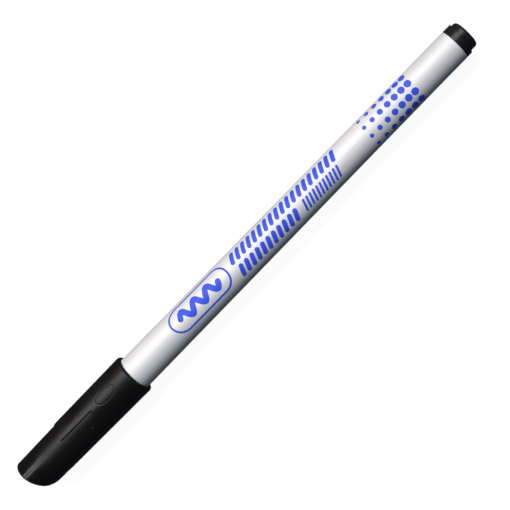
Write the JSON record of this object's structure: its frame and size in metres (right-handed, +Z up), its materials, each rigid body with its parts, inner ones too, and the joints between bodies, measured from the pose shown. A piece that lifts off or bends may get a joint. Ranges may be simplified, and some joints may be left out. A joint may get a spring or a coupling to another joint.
{
  "type": "whiteboard marker",
  "caption": "Slim round whiteboard marker with a tapered white barrel, a black pull-off cap, a fibre bullet nib, a fibre ink reservoir and a black end plug.",
  "frame": {"origin": "bottom centre of the capped marker's bounding box, straight below the middle of its length", "axes": "+X along the marker's axis towards the end plug, +Y towards the middle of the cap's raised panel, +Z up"},
  "size_m": [0.15, 0.0112, 0.0111],
  "materials": {
    "white_barrel": "glossy moulded polypropylene with blue print",
    "white_holder": "satin moulded polypropylene",
    "fibre_nib": "bonded fibre soaked with black ink",
    "ink_fibre": "bundled fibre soaked with black ink",
    "clear_film": "clear wrapping film",
    "black_plastic": "satin moulded polypropylene",
    "blue_print": "blue screen-printing ink on the barrel; no node of its own",
    "seal_plastic": "soft natural polyethylene"
  },
  "bodies": {
    "pen": {"barrel": "white_barrel", "nib_holder": "white_holder", "nib": "fibre_nib", "ink_reservoir": "ink_fibre", "reservoir_film": "clear_film", "end_plug": "black_plastic"},
    "cap": {"cap_shell": "black_plastic", "cap_inner_seal": "seal_plastic"}
  },
  "joints": [
    {"name": "cap_pull", "type": "slide", "parent": "pen", "child": "cap", "axis": [-1, 0, 0], "range_m": [0, 0.04]}
  ]
}
